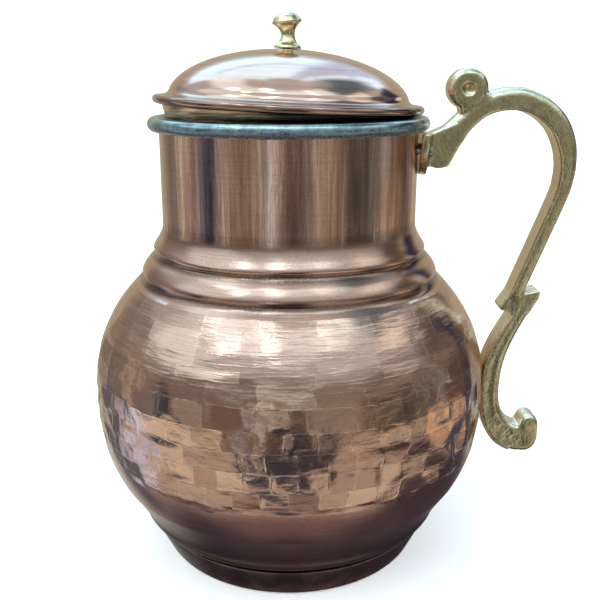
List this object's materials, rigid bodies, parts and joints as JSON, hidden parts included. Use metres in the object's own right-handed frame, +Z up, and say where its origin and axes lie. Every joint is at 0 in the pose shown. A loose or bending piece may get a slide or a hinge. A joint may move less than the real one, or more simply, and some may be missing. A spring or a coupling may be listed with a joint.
{
  "type": "copper water jug",
  "caption": "Round-bellied copper water jug with a straight neck, rolled mouth, cast brass scroll handle and a loose domed lid with a brass knob.",
  "frame": {"origin": "on the jug's axis, in the plane of its flat bottom", "axes": "+Z up along the jug's axis, +X towards the handle"},
  "size_m": [0.1991, 0.165, 0.2234],
  "materials": {
    "copper_body": "hammered copper, darkened, satin",
    "copper_foot": "dark tarnished copper",
    "copper_lid": "spun copper, brushed",
    "copper_trim": "plain copper",
    "solder": "wiped solder",
    "cast_brass": "sand-cast brass, dull, filed",
    "turned_brass": "turned and polished brass"
  },
  "bodies": {
    "jug": {"body_shell": "copper_body", "rim_wire": "copper_trim", "base_pan": "copper_foot", "seam_solder": "solder", "handle": "cast_brass", "neck_rivets": "copper_trim", "neck_burrs": "copper_trim", "belly_rivet": "copper_trim", "belly_burr": "copper_trim"},
    "lid": {"lid_dome": "copper_lid", "lid_skirt": "copper_lid", "lid_edge_wire": "copper_trim", "knob": "turned_brass", "knob_washer": "copper_trim"}
  },
  "joints": [
    {"name": "lid_lift", "type": "slide", "parent": "jug", "child": "lid", "axis": [0, 0, 1], "range_m": [0, 0.06]}
  ]
}
